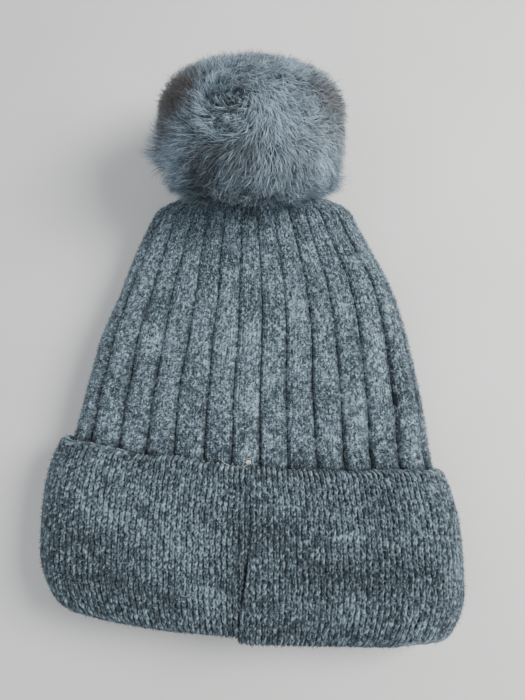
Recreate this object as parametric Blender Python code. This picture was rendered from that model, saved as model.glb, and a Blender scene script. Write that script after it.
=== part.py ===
"""Pom pom beanie, laid flat on a table.

+X runs across the hat, +Y from the mouth to the pompom, +Z up. The origin is on the
table, under the middle of the hat. A ribbed knit crown is turned up on itself at the
mouth to make a deep cuff. It has a fleece lining, and a faux-fur pompom that is held
by a press stud at the gathered top of the crown.
"""

import math

import bmesh
import bpy
from mathutils import Matrix, Vector

# Knit and cloth, in metres
KNIT = 0.0040
LINING = 0.0020
LAYER_GAP = 0.0003
LINING_GAP = 0.0020

# The hat along its length: y of the mouth, the cuff's free edge and the gathered top
MOUTH_Y = -0.164
CUFF_HEIGHT = 0.087
CUFF_EXIT = (MOUTH_Y + CUFF_HEIGHT + 0.002, MOUTH_Y + CUFF_HEIGHT + 0.040)
TIP_Y, TIP_Z = 0.095, 0.031
DOME = 0.013

# Half widths across the hat and half heights above its middle surface
CUFF_HALF_WIDTH = 0.118
CUFF_BARREL = 0.0035
CROWN_HALF_WIDTH = 0.1045
CROWN_TAPER_LENGTH = 0.180
CROWN_TAPER, CROWN_SHOULDER = 0.026, 0.034
BAND_HALF_WIDTH, BAND_HALF_HEIGHT = 0.1095, 0.0126
CROWN_HALF_HEIGHT, NECK_HALF_HEIGHT = 0.0150, 0.0125
CUFF_OFFSET = 0.0045
CUFF_AIR = CUFF_OFFSET - KNIT
CUFF_END = 0.0074
CROWN_LIFT = 0.0005
TOP_BULGE = 0.0010
MOUTH_ROUND, MOUTH_ROUND_HEIGHT = 0.0090, 0.024
RIM_ROUND, RIM_ROUND_HEIGHT = 0.0045, 0.032
GATHER_RADIUS = 0.0055

# The left side of the mouth lies further up the table than the right side
DRIFT_START, DRIFT_RATE = 0.0485, 0.82
DRIFT_FADE = (-0.070, 0.030)

# The spine rises towards the gathered top, where the pompom props it up
RISE_START = 0.040

# Lining, seams and small cloth pieces
LINING_START, LINING_TOP = MOUTH_Y + 0.022, TIP_Y - 0.0125
LINING_INSET = KNIT + LINING_GAP
LINING_HOLE = 0.0045
PANEL_LIFT = 0.0006
TAPE_WIDTH, TAPE_THICKNESS = 0.012, 0.0008
CUFF_SLOT_WIDTH = 0.0024
CUFF_SEAM_WIDTH, CUFF_SEAM_DEPTH = 0.0016, 0.0026
CROWN_SEAM_WIDTH, CROWN_SEAM_DEPTH = 0.0030, 0.0007
CROWN_SEAM_ENDS = (MOUTH_Y + 0.030, 0.050)
KNOT_RADIUS = 0.0014
LABEL_SIZE = (0.012, 0.026, 0.0010)
LABEL_X, LABEL_Y = -0.0745, -0.048
LABEL_RISE = 0.0034

# Pompom, along and across its own axis
POMPOM_RADIUS, POMPOM_HALF_DEPTH = 0.052, 0.032
POMPOM_CENTRE = 0.0355
PELT = 0.013
PELT_MOUTH = 0.012
FILLING_GAP = 0.0004
CORD_RADIUS = 0.0008

# Press stud. Places along its axis are counted from the gathered top, outwards
STUD_RADIUS = 0.0065
POST_RADIUS = 0.0020
CAP_RADIUS = 0.0053
SOCKET_BASE, SOCKET_FLOOR, SOCKET_RIM = 0.0024, 0.0032, 0.0054
SOCKET_BORE = 0.0034
STUD_BASE, STUD_CAP_BASE = 0.0058, 0.0090
CAP_SEAT = -0.0084

# Mesh density
ARC_STEPS, FLAT_STEPS = 5, 4
SHORTEST_STRAIGHT = 0.0008
TURN_STEPS = 20


def clear_scene():
    for thing in list(bpy.data.objects):
        bpy.data.objects.remove(thing, do_unlink=True)


def finish(name, colour, roughness, metallic=0.0):
    material = bpy.data.materials.new(name)
    material.use_nodes = True
    shader = material.node_tree.nodes["Principled BSDF"]
    shader.inputs["Base Color"].default_value = (*colour, 1.0)
    shader.inputs["Roughness"].default_value = roughness
    shader.inputs["Metallic"].default_value = metallic
    return material


def ease(value, low, high):
    share = min(max((value - low) / (high - low), 0.0), 1.0)
    return share * share * (3.0 - 2.0 * share)


def mix(low, high, share):
    return low + (high - low) * share


# ---------------------------------------------------------------- the hat's own shape


def drift(x, y):
    """How far the cloth at x, y lies up the table from a straight hat."""
    left = max(0.0, DRIFT_START - x)
    return DRIFT_RATE * left * left * (1.0 - ease(y, *DRIFT_FADE))


def spine(y):
    """Height of the hat's middle surface, and its slope, at y."""
    inside_cuff = 1.0 - ease(y, *CUFF_EXIT)
    level = mix(CROWN_LIFT + CROWN_HALF_HEIGHT, BAND_HALF_HEIGHT + CUFF_OFFSET, inside_cuff)
    run = TIP_Y - RISE_START
    climb = (TIP_Z - CROWN_LIFT - CROWN_HALF_HEIGHT) / run**2
    past = max(0.0, y - RISE_START)
    return level + climb * past * past, math.atan(2.0 * climb * past)


def mouth_corner(height):
    """How far the sides draw in towards the mouth, at a height above it."""
    return MOUTH_ROUND * max(0.0, 1.0 - height / MOUTH_ROUND_HEIGHT) ** 2


def crown_half_width(y):
    cuff_edge = MOUTH_Y + CUFF_HEIGHT
    if y < cuff_edge:
        band = mix(CROWN_HALF_WIDTH, BAND_HALF_WIDTH, ease(cuff_edge - y, 0.0, CUFF_HEIGHT))
        return band - mouth_corner(y - MOUTH_Y)
    share = (y - cuff_edge) / CROWN_TAPER_LENGTH
    return CROWN_HALF_WIDTH - CROWN_TAPER * share - CROWN_SHOULDER * share**4


def crown_half_height(y):
    body = mix(BAND_HALF_HEIGHT, CROWN_HALF_HEIGHT, ease(y, *CUFF_EXIT))
    return mix(body, NECK_HALF_HEIGHT, ease(y, 0.030, TIP_Y - DOME))


def outline(half_width, half_height, bulge=0.0, part="all"):
    """A flattened tube in X and Z: straight runs joined by round ends, from +X over the top."""
    straight = max(half_width - half_height, SHORTEST_STRAIGHT)
    points = []
    for step in range(ARC_STEPS + 1):
        angle = 0.5 * math.pi * step / ARC_STEPS
        points.append((straight + half_height * math.cos(angle), half_height * math.sin(angle)))
    for step in range(1, FLAT_STEPS):
        points.append((straight * (1.0 - step / FLAT_STEPS), half_height))
    points.append((0.0, half_height))
    top = points + [(-x, z) for x, z in reversed(points[:-1])]
    upper = [(x, z + bulge * (1.0 - (x / half_width) ** 2) * (z / half_height)) for x, z in top]
    lower = [(-x, -z) for x, z in top]
    if part == "upper":
        return upper
    if part == "lower":
        return lower
    return upper + lower[1:-1]


def lay(point, y):
    """Puts an outline point on the hat at y: turned with the spine, then shifted with the drift."""
    height, slope = spine(y)
    x, z = point
    along = y - z * math.sin(slope)
    return Vector((x, along + drift(x, y), height + z * math.cos(slope)))


def dome_share(y, end):
    """1 on the straight tube, falling round to 0 where the tube closes at its end."""
    into = min(max((y - (end - DOME)) / DOME, 0.0), 1.0)
    return math.sqrt(1.0 - into * into)


def tube_ring(y, inset, end, hole, part="all"):
    """One ring of the knit or of the lining, inset from the crown's outside."""
    share = dome_share(y, end)
    wide = mix(hole, crown_half_width(min(y, end)) - inset, share)
    tall = mix(min(hole, GATHER_RADIUS), crown_half_height(y) - inset, share)
    return [lay(point, y) for point in outline(wide, min(wide, tall), TOP_BULGE * share, part)]


def stations(start, end, steps):
    """Places along y from start to end: under the cuff, up the crown, and round the dome."""
    under_cuff = [mix(start, CUFF_EXIT[0], step / 4) for step in range(4)]
    straight = [mix(CUFF_EXIT[0], end - DOME, step / steps) for step in range(steps)]
    dome = [end - DOME + DOME * math.sin(0.5 * math.pi * step / 5) for step in range(6)]
    return under_cuff + straight + dome


# ---------------------------------------------------------------- modelling helpers


def add_object(name, mesh, material):
    thing = bpy.data.objects.new(name, mesh)
    mesh.materials.append(material)
    bpy.context.scene.collection.objects.link(thing)
    return thing


def loft(name, rings, material, closed=True, caps=False, joined=False):
    """A skin over rings of equal length, with its faces pointing out. Joined, it ends where it began."""
    bm = bmesh.new()
    rows = [[bm.verts.new(point) for point in ring] for ring in rings]
    count = len(rows[0])
    for low, high in zip(rows, rows[1:], strict=False):
        for i in range(count if closed else count - 1):
            j = (i + 1) % count
            bm.faces.new((low[i], high[i], high[j], low[j]))
    if caps:
        bm.faces.new(rows[0])
        bm.faces.new(tuple(reversed(rows[-1])))
    if joined:
        bmesh.ops.remove_doubles(bm, verts=rows[0] + rows[-1], dist=0.000001)
    bmesh.ops.recalc_face_normals(bm, faces=bm.faces)
    mesh = bpy.data.meshes.new(name)
    bm.to_mesh(mesh)
    bm.free()
    mesh.shade_smooth()
    return add_object(name, mesh, material)


def solidify(thing, thickness, offset):
    wall = thing.modifiers.new("wall", "SOLIDIFY")
    wall.thickness = thickness
    wall.offset = offset
    wall.use_even_offset = True
    wall.use_quality_normals = True
    return wall


def box_cutter(name, low, high):
    bm = bmesh.new()
    centre = (Vector(low) + Vector(high)) / 2
    size = Vector(high) - Vector(low)
    bmesh.ops.create_cube(bm, size=1.0, matrix=Matrix.Translation(centre) @ Matrix.Diagonal((*size, 1)))
    mesh = bpy.data.meshes.new(name)
    bm.to_mesh(mesh)
    bm.free()
    cutter = bpy.data.objects.new(name, mesh)
    bpy.context.scene.collection.objects.link(cutter)
    cutter.hide_render = True
    cutter.display_type = "WIRE"
    return cutter


def cut(thing, cutter):
    change = thing.modifiers.new("cut " + cutter.name, "BOOLEAN")
    change.operation = "DIFFERENCE"
    change.object = cutter


def ribbon(name, stops, width, depth, material):
    """A straight-sided strip along stops, each a centre point and the direction of its face."""
    rings = []
    for centre, normal in stops:
        side = Vector((0.5 * width, 0.0, 0.0))
        up = normal.normalized() * 0.5 * depth
        rings.append([centre + side + up, centre - side + up, centre - side - up, centre + side - up])
    return loft(name, rings, material, caps=True)


def turned(name, profile, material, axis_frame, whole_loop=False, steps=TURN_STEPS):
    """A piece turned about the press stud's axis. Profile points are radius and place along it."""
    bm = bmesh.new()
    corners = [bm.verts.new((radius, 0.0, place)) for radius, place in profile]
    for first, second in zip(corners, corners[1:], strict=False):
        bm.edges.new((first, second))
    if whole_loop:
        bm.edges.new((corners[-1], corners[0]))
    mesh = bpy.data.meshes.new(name)
    bm.to_mesh(mesh)
    bm.free()
    thing = add_object(name, mesh, material)
    thing.parent = axis_frame
    turn = thing.modifiers.new("turn", "SCREW")
    turn.axis = "Z"
    turn.steps = turn.render_steps = steps
    turn.use_merge_vertices = True
    turn.merge_threshold = 0.00001
    turn.use_smooth_shade = True
    return thing


def arc(centre, radii, start, end, steps):
    """Points on an ellipse in the turning profile, from angle start to end in degrees."""
    points = []
    for step in range(steps + 1):
        angle = math.radians(mix(start, end, step / steps))
        points.append((centre[0] + radii[0] * math.cos(angle), centre[1] + radii[1] * math.sin(angle)))
    return points


# ---------------------------------------------------------------- knit


def make_crown_shell(knit):
    start = MOUTH_Y + 0.0083
    rings = [tube_ring(y, 0.0, TIP_Y, GATHER_RADIUS) for y in stations(start, TIP_Y, 9)]
    shell = loft("crown_shell", rings, knit)
    solidify(shell, KNIT, -1.0)


def cuff_ring(height, offset):
    """A ring of the turn-up, offset from the crown wall, at a height above the mouth."""
    y = MOUTH_Y + height
    from_middle = (height - 0.5 * CUFF_HEIGHT) / (0.5 * CUFF_HEIGHT)
    rim_corner = RIM_ROUND * max(0.0, 1.0 - (CUFF_HEIGHT - height) / RIM_ROUND_HEIGHT) ** 2
    corners = mouth_corner(height) + rim_corner
    outside = CUFF_HALF_WIDTH - CUFF_BARREL * from_middle**2 - CUFF_OFFSET - corners
    share = min(max(offset / CUFF_AIR, 0.0), 1.0)
    wide = mix(crown_half_width(y), outside, share) + offset
    ring = []
    for x, z in outline(wide, BAND_HALF_HEIGHT + offset, TOP_BULGE):
        ring.append(Vector((x, y + drift(x, y), BAND_HALF_HEIGHT + CUFF_OFFSET + z)))
    return ring


def make_turned_cuff(knit):
    """The outside layer and the fold, as one closed section carried round the hat."""
    outer_radius = 0.5 * (CUFF_OFFSET + KNIT)
    inner_radius = 0.5 * CUFF_AIR
    fold = outer_radius
    steps = 6
    section = [(mix(CUFF_HEIGHT, fold, step / steps), CUFF_OFFSET) for step in range(steps)]
    for step in range(7):
        turn = math.pi * step / 6
        section.append((fold - outer_radius * math.sin(turn), inner_radius + outer_radius * math.cos(turn)))
    section += [(CUFF_END, -KNIT), (CUFF_END, 0.0), (fold, 0.0)]
    section.append((fold - inner_radius, inner_radius))
    section += [(mix(fold, CUFF_HEIGHT, step / steps), CUFF_AIR) for step in range(steps + 1)]
    rings = [cuff_ring(height, offset) for height, offset in section]
    cuff = loft("turned_cuff", rings + rings[:1], knit, joined=True)
    slot = box_cutter(
        "cuff_slot",
        (-0.5 * CUFF_SLOT_WIDTH, MOUTH_Y - 0.01, BAND_HALF_HEIGHT + CUFF_OFFSET),
        (0.5 * CUFF_SLOT_WIDTH, MOUTH_Y + CUFF_HEIGHT + 0.01, 0.05),
    )
    cut(cuff, slot)


def make_cuff_seam(yarn):
    """The seam that joins the two edges of the cuff, down the middle of its outside layer."""
    top = 2.0 * BAND_HALF_HEIGHT + 2.0 * CUFF_OFFSET + TOP_BULGE - 0.5 * KNIT
    stops = []
    for height in (0.006, 0.03, 0.055, CUFF_HEIGHT - 0.004):
        y = MOUTH_Y + height
        stops.append((Vector((0.0, y + drift(0.0, y), top)), Vector((0, 0, 1))))
    ribbon("cuff_seam_yarn", stops, CUFF_SEAM_WIDTH, CUFF_SEAM_DEPTH, yarn)


def make_crown_seam(yarn):
    """The seam allowance up the back of the crown, between the knit and the lining."""
    stops = []
    for step in range(10):
        y = mix(*CROWN_SEAM_ENDS, step / 9)
        _, slope = spine(y)
        depth = crown_half_height(y) + TOP_BULGE - KNIT - 0.5 * LINING_GAP + LAYER_GAP / 2
        stops.append((lay((0.0, depth), y), Vector((0, -math.sin(slope), math.cos(slope)))))
    ribbon("crown_seam_yarn", stops, CROWN_SEAM_WIDTH, CROWN_SEAM_DEPTH, yarn)


def make_cuff_tack(thread):
    """A small knot at the cuff's free edge, where it is caught to the crown."""
    bm = bmesh.new()
    y = MOUTH_Y + CUFF_HEIGHT + 0.0042
    top = spine(y)[0] + crown_half_height(y) + TOP_BULGE
    place = Matrix.Translation((-KNOT_RADIUS, y + drift(0.0, y), top + KNOT_RADIUS + 0.0005))
    flattened = Matrix.Diagonal((1.3, 1, 0.8, 1))
    bmesh.ops.create_icosphere(bm, subdivisions=2, radius=KNOT_RADIUS, matrix=place @ flattened)
    mesh = bpy.data.meshes.new("cuff_tack_knot")
    bm.to_mesh(mesh)
    bm.free()
    mesh.shade_smooth()
    add_object("cuff_tack_knot", mesh, thread)


# ---------------------------------------------------------------- lining


def make_lining_panel(name, part, fleece):
    """Half of the lining, from one side seam over to the other."""
    rings = []
    for y in stations(LINING_START, LINING_TOP, 8):
        rings.append(tube_ring(y, LINING_INSET, LINING_TOP, LINING_HOLE, part))
    lift = PANEL_LIFT if part == "upper" else -PANEL_LIFT
    for ring in rings:
        for point in ring:
            point.z += lift
    panel = loft(name, rings, fleece, closed=False)
    solidify(panel, LINING, -1.0).use_even_offset = False


def make_hem_tape(tape):
    """The binding round the lining's lower edge."""
    inset = LINING_INSET + LINING + 2.0 * LAYER_GAP
    low = LINING_START - 0.25 * TAPE_WIDTH
    rings = [tube_ring(y, inset, LINING_TOP, LINING_HOLE) for y in (low, low + TAPE_WIDTH)]
    band = loft("lining_hem_tape", rings, tape)
    solidify(band, TAPE_THICKNESS, -1.0)


def make_care_label(satin):
    """A blank folded tape, caught in the lining's left side seam."""
    bm = bmesh.new()
    floor = spine(LABEL_Y)[0] - crown_half_height(LABEL_Y) + LINING_INSET + LINING
    place = Matrix.Translation((LABEL_X, LABEL_Y, floor + LABEL_RISE))
    bmesh.ops.create_cube(bm, size=1.0, matrix=place @ Matrix.Diagonal((*LABEL_SIZE, 1)))
    mesh = bpy.data.meshes.new("care_label")
    bm.to_mesh(mesh)
    bm.free()
    label = add_object("care_label", mesh, satin)
    edge = label.modifiers.new("soft edge", "BEVEL")
    edge.width = 0.0003
    edge.segments = 2


# ---------------------------------------------------------------- press stud and pompom


def axis_frame_at(name, offset):
    """An empty on the press stud's axis, with its own +Z along that axis."""
    frame = bpy.data.objects.new(name, None)
    bpy.context.scene.collection.objects.link(frame)
    slope = spine(TIP_Y)[1]
    along = Vector((0.0, math.cos(slope), math.sin(slope)))
    turn = Matrix.Rotation(slope - 0.5 * math.pi, 4, "X")
    frame.matrix_world = Matrix.Translation(Vector((0.0, TIP_Y, TIP_Z)) + along * offset) @ turn
    return frame


def ring_profile(inner, outer, low, high, edge=0.0003):
    """A washer's section, from its inner top round the outside, with eased outer corners."""
    return [
        (inner, high),
        (outer - edge, high),
        (outer, high - edge),
        (outer, low + edge),
        (outer - edge, low),
        (inner, low),
    ]


def make_gather_cord(yarn, frame):
    section = arc((GATHER_RADIUS - 0.0022, -0.0016), (CORD_RADIUS, CORD_RADIUS), 90, -240, 6)
    turned("crown_gather_cord", section, yarn, frame, whole_loop=True)


def make_tip_patch(felt, frame):
    """The felt washer that the socket's cap holds against the inside of the gathers."""
    section = ring_profile(POST_RADIUS + 0.0006, CAP_RADIUS - 0.0010, CAP_SEAT + 0.0001, CAP_SEAT + 0.0011)
    turned("tip_patch", section, felt, frame, whole_loop=True)


def make_socket(metal, frame):
    cup = [
        (0.0, SOCKET_FLOOR),
        (SOCKET_BORE, SOCKET_FLOOR),
        (SOCKET_BORE, SOCKET_RIM),
        (STUD_RADIUS - 0.0008, SOCKET_RIM),
        (STUD_RADIUS, SOCKET_RIM - 0.0008),
        (STUD_RADIUS, SOCKET_BASE + 0.0004),
        (STUD_RADIUS - 0.0004, SOCKET_BASE),
        (0.0, SOCKET_BASE),
    ]
    turned("snap_socket", cup, metal, frame)
    cap = [
        (0.0, SOCKET_BASE - LAYER_GAP),
        (POST_RADIUS, SOCKET_BASE - LAYER_GAP),
        (POST_RADIUS, CAP_SEAT),
        (CAP_RADIUS - 0.0003, CAP_SEAT),
        (CAP_RADIUS, CAP_SEAT - 0.0004),
        (CAP_RADIUS - 0.0004, CAP_SEAT - 0.0010),
        (0.0, CAP_SEAT - 0.0012),
    ]
    turned("snap_socket_cap", cap, metal, frame)


def make_spring_ring(metal, frame):
    section = arc((0.00275, 0.0042), (0.0003, 0.0003), 90, -225, 5)
    turned("snap_spring_ring", section, metal, frame, whole_loop=True)


def make_stud(metal, frame):
    stud = [
        (0.0, STUD_BASE + 0.0012),
        (STUD_RADIUS - 0.0003, STUD_BASE + 0.0012),
        (STUD_RADIUS, STUD_BASE + 0.0009),
        (STUD_RADIUS, STUD_BASE + 0.0002),
        (STUD_RADIUS - 0.0002, STUD_BASE),
        (0.0021, STUD_BASE),
        (0.0020, 0.0048),
        (0.0022, 0.0042),
        (0.0018, 0.0037),
        (0.0, 0.0036),
    ]
    turned("snap_stud", stud, metal, frame)
    cap = [
        (0.0, STUD_CAP_BASE + 0.0012),
        (STUD_RADIUS - 0.0004, STUD_CAP_BASE + 0.0011),
        (STUD_RADIUS, STUD_CAP_BASE + 0.0006),
        (STUD_RADIUS, STUD_CAP_BASE),
        (POST_RADIUS, STUD_CAP_BASE),
        (POST_RADIUS, STUD_BASE + 0.0015),
        (0.0, STUD_BASE + 0.0015),
    ]
    turned("snap_stud_cap", cap, metal, frame)


def make_base_disc(felt, frame):
    section = ring_profile(POST_RADIUS + LAYER_GAP, 0.0105, STUD_BASE + 0.0015, STUD_CAP_BASE - LAYER_GAP)
    turned("pompom_base_disc", section, felt, frame, whole_loop=True)


def make_pompom(fur, filling, yarn, frame):
    centre = (0.0, POMPOM_CENTRE)
    outside = (POMPOM_RADIUS, POMPOM_HALF_DEPTH)
    inside = (POMPOM_RADIUS - PELT, POMPOM_HALF_DEPTH - PELT)
    # The pelt is open underneath, where its edge is drawn in over the backing disc
    rim = -math.degrees(math.acos(PELT_MOUTH / POMPOM_RADIUS))
    inner_rim = -math.degrees(math.acos(PELT_MOUTH / inside[0]))
    pelt = arc(centre, outside, 90, rim, 12) + arc(centre, inside, inner_rim, 90, 8)
    turned("pompom_fur_cover", pelt, fur, frame, steps=28)
    core = (inside[0] - FILLING_GAP, inside[1] - FILLING_GAP)
    turned("pompom_filling", arc(centre, core, 90, -90, 9), filling, frame, steps=20)
    cord = arc((PELT_MOUTH - 0.0013, 0.0112), (CORD_RADIUS, CORD_RADIUS), 90, -225, 5)
    turned("pompom_gather_cord", cord, yarn, frame, whole_loop=True)


def make_hat():
    knit = finish("charcoal chenille knit", (0.085, 0.115, 0.140), 0.95)
    cuff_knit = finish("charcoal cuff knit", (0.075, 0.100, 0.120), 0.95)
    yarn = finish("charcoal seam yarn", (0.040, 0.052, 0.062), 0.9)
    thread = finish("pale tacking thread", (0.75, 0.76, 0.74), 0.7)
    fleece = finish("grey fleece", (0.110, 0.125, 0.138), 0.95)
    tape = finish("grey hem tape", (0.060, 0.070, 0.078), 0.8)
    satin = finish("white satin tape", (0.78, 0.78, 0.76), 0.45)
    felt = finish("black felt", (0.020, 0.021, 0.023), 0.95)
    metal = finish("nickel plate", (0.62, 0.61, 0.59), 0.28, 1.0)
    fur = finish("grey faux fur", (0.150, 0.175, 0.190), 0.85)
    filling = finish("white fibre filling", (0.80, 0.80, 0.78), 0.95)

    make_crown_shell(knit)
    make_turned_cuff(cuff_knit)
    make_cuff_seam(yarn)
    make_crown_seam(yarn)
    make_cuff_tack(thread)
    make_lining_panel("lining_back_panel", "upper", fleece)
    make_lining_panel("lining_front_panel", "lower", fleece)
    make_hem_tape(tape)
    make_care_label(satin)

    crown_top = axis_frame_at("crown_top_axis", 0.0)
    make_gather_cord(yarn, crown_top)
    make_tip_patch(felt, crown_top)
    make_socket(metal, crown_top)
    make_spring_ring(metal, crown_top)
    make_stud(metal, crown_top)
    make_base_disc(felt, crown_top)
    make_pompom(fur, filling, yarn, crown_top)


clear_scene()
make_hat()
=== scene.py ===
"""Pom pom beanie: the looks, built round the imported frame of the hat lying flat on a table."""

import math

import bpy
import numpy as np
from bpy.props import FloatProperty, FloatVectorProperty, IntProperty, PointerProperty
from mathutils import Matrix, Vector


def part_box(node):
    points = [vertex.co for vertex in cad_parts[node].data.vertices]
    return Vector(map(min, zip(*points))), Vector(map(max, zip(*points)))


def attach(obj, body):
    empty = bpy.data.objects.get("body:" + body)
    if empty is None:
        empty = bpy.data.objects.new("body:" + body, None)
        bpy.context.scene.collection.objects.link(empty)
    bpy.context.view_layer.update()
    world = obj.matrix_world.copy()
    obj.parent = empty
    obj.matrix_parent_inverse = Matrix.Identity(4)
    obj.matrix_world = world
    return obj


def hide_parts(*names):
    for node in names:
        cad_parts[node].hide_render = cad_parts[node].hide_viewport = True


bl_info = {
    "name": "Pom Pom Beanie",
    "version": (1, 0, 0),
    "blender": (4, 5, 0),
    "location": "View3D > Sidebar > Beanie",
    "description": "Knits a chenille beanie with a turned-up cuff and a faux-fur pompom",
    "category": "Object",
}

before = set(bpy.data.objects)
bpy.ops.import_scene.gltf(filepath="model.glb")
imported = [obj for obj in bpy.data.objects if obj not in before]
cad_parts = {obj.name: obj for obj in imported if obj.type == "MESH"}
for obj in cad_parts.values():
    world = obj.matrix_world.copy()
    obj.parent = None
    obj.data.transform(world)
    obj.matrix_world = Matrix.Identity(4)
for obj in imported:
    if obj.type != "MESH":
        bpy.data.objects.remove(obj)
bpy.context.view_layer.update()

# The hat's lay in metres, the same as the frame's: its half widths, heights and layers
MOUTH_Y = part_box("turned_cuff")[0].y
CUFF_HEIGHT = 0.087
CUFF_EXIT = (MOUTH_Y + CUFF_HEIGHT + 0.002, MOUTH_Y + CUFF_HEIGHT + 0.040)
TIP_Y, TIP_Z, DOME = 0.095, 0.031, 0.013
CUFF_HALF_WIDTH, CUFF_BARREL = 0.118, 0.0035
CROWN_HALF_WIDTH, CROWN_TAPER_LENGTH = 0.1045, 0.180
CROWN_TAPER, CROWN_SHOULDER = 0.026, 0.034
BAND_HALF_WIDTH, BAND_HALF_HEIGHT = 0.1095, 0.0126
CROWN_HALF_HEIGHT, NECK_HALF_HEIGHT = 0.0150, 0.0125
CUFF_OFFSET, CUFF_AIR = 0.0045, 0.0005
KNIT, LINING_GAP, LINING = 0.0040, 0.0020, 0.0020
CROWN_LIFT, TOP_BULGE, GATHER_RADIUS = 0.0005, 0.0010, 0.0055
DRIFT_START, DRIFT_RATE, DRIFT_FADE = 0.0485, 0.82, (-0.070, 0.030)
RISE_START = 0.040
MOUTH_ROUND, MOUTH_ROUND_HEIGHT = 0.0090, 0.024
RIM_ROUND, RIM_ROUND_HEIGHT = 0.0045, 0.032
TABLE_GAP = 0.0002
# How far the crown runs on under the cuff, the cuff's inside layer below the rim, and the band in the mouth
UNDER_CUFF, RIM_INSIDE, BAND_INSIDE = 0.016, 0.016, 0.024
# Half the cuff's whole thickness, which is also its middle's height above the table
MIDDLE_Z = BAND_HALF_HEIGHT + CUFF_OFFSET
# Once round the crown and once round the cuff
ROUND_CROWN = 4.0 * (CROWN_HALF_WIDTH - CROWN_HALF_HEIGHT) + 2.0 * math.pi * CROWN_HALF_HEIGHT
ROUND_CUFF = 4.0 * (CUFF_HALF_WIDTH - MIDDLE_Z) + 2.0 * math.pi * MIDDLE_Z
# The cuff's seam across the hat at the fold and from SEAM_SLANT above it, and its slit's depth and place
SEAM_AT_FOLD, SEAM_AT_RIM, SEAM_SLANT = -0.0062, -0.0008, 0.055
SLIT_DEPTH, SLIT_MIDDLE, SLIT_REACH = 0.0016, 0.034, 0.013
# The lining runs from inside the band to under the gathered top, clear of the knit by LINING_INSET
LINING_START, LINING_END = MOUTH_Y + 0.022, TIP_Y - 0.0125
LINING_INSET = KNIT + LINING_GAP + LINING
# Half the gap between the lining's two panels
LINING_SPLIT = 0.0006
# Where the ribs' grooves lie, in parts of the way round from the middle of the top
RIB_TURN = 0.0105


# ------------------------------------------------------------------ sizes and colours


def distance(name, description, default):
    """A distance in metres that the panel can change."""
    return FloatProperty(name=name, description=description, default=default, unit="LENGTH")


def tint(name, description, default):
    """A colour that the panel can change."""
    return FloatVectorProperty(name=name, description=description, default=default, subtype="COLOR")


class HatKnit(bpy.types.PropertyGroup):
    """Stitch sizes and yarn colours."""

    ribs: IntProperty(name="Ribs", description="Wide ribs round the crown", default=28)
    rib_wales: IntProperty(name="Wales per rib", description="Stitches across one wide rib", default=5)
    rib_height: distance("Rib height", "How far a wide rib stands up", 0.0030)
    wale: distance("Wale", "Width of one cuff stitch", 0.0031)
    course: distance("Course", "Height of one stitch", 0.0030)
    stitch_height: distance("Stitch height", "How far one stitch stands up", 0.0010)
    light_yarn: tint("Light yarn", "Pale flecks of the yarn", (0.245, 0.325, 0.382))
    middle_yarn: tint("Middle yarn", "Body colour of the yarn", (0.078, 0.108, 0.130))
    dark_yarn: tint("Dark yarn", "Dark flecks of the yarn", (0.012, 0.018, 0.026))


class HatPompom(bpy.types.PropertyGroup):
    """Faux-fur pompom."""

    centre: distance("Centre", "Its middle, along the press stud's axis", 0.0355)
    pelt_radius: distance("Pelt radius", "Half width of the pelt under the fur", 0.0480)
    pelt_depth: distance("Pelt depth", "Half depth of the pelt along the axis", 0.0290)
    squareness: FloatProperty(
        name="Squareness", description="2 is an ellipsoid, and more is squarer", default=2.8, min=2.0
    )
    fur_height: distance("Fur height", "How far the fur stands off the pelt", 0.0085)
    fur_lie: distance("Fur lie", "How far a hair runs along the pelt", 0.0082)
    hairs: IntProperty(name="Hairs", description="Hairs on the whole pompom", default=78000)
    hair_width: distance("Hair width", "Width of a hair at its root", 0.00030)
    tip_colour: tint("Tip colour", "Colour of the fur's tips", (0.290, 0.385, 0.465))
    root_colour: tint("Root colour", "Colour of the fur near the pelt", (0.030, 0.036, 0.042))
    brown: tint("Brown cast", "Warm cast in the parted fur", (0.075, 0.060, 0.052))


# ------------------------------------------------------------------ noise and small maths


def ease(value, low, high):
    """0 up to low, 1 from high, and smooth between."""
    share = np.clip((value - low) / (high - low), 0.0, 1.0)
    return share * share * (3.0 - 2.0 * share)


def mix(low, high, share):
    return low + (high - low) * share


def unit_rows(rows):
    """Vectors of length 1 along the last axis."""
    return rows / np.maximum(np.linalg.norm(rows, axis=-1, keepdims=True), 1e-12)


def scatter(i, j, seed):
    """A fixed random number from 0 to 1 for each pair of whole numbers."""
    mask = np.uint64(0xFFFFFFFF)
    a = np.asarray(i).astype(np.int64).astype(np.uint64) & mask
    b = np.asarray(j).astype(np.int64).astype(np.uint64) & mask
    key = (a * np.uint64(374761393) + b * np.uint64(668265263) + np.uint64(seed * 2246822519)) & mask
    key = ((key ^ (key >> np.uint64(13))) * np.uint64(1274126177)) & mask
    return ((key ^ (key >> np.uint64(16))) & mask) / float(0xFFFFFFFF)


def noise(u, v, seed):
    """Smooth noise from 0 to 1 with one bump per unit."""
    i, j = np.floor(u), np.floor(v)
    s, t = ease(u - i, 0.0, 1.0), ease(v - j, 0.0, 1.0)
    low = mix(scatter(i, j, seed), scatter(i + 1, j, seed), s)
    high = mix(scatter(i, j + 1, seed), scatter(i + 1, j + 1, seed), s)
    return mix(low, high, t)


def wave(u, v, seed, size):
    """Smooth noise of a size in all, half of it either way from nothing."""
    return (noise(u, v, seed) - 0.5) * size


# ------------------------------------------------------------------ the hat's lay


def drift(x, y):
    """How far up the table the hat's left side lies at x and y."""
    left = np.maximum(0.0, DRIFT_START - x)
    return DRIFT_RATE * left * left * (1.0 - ease(y, *DRIFT_FADE))


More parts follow.
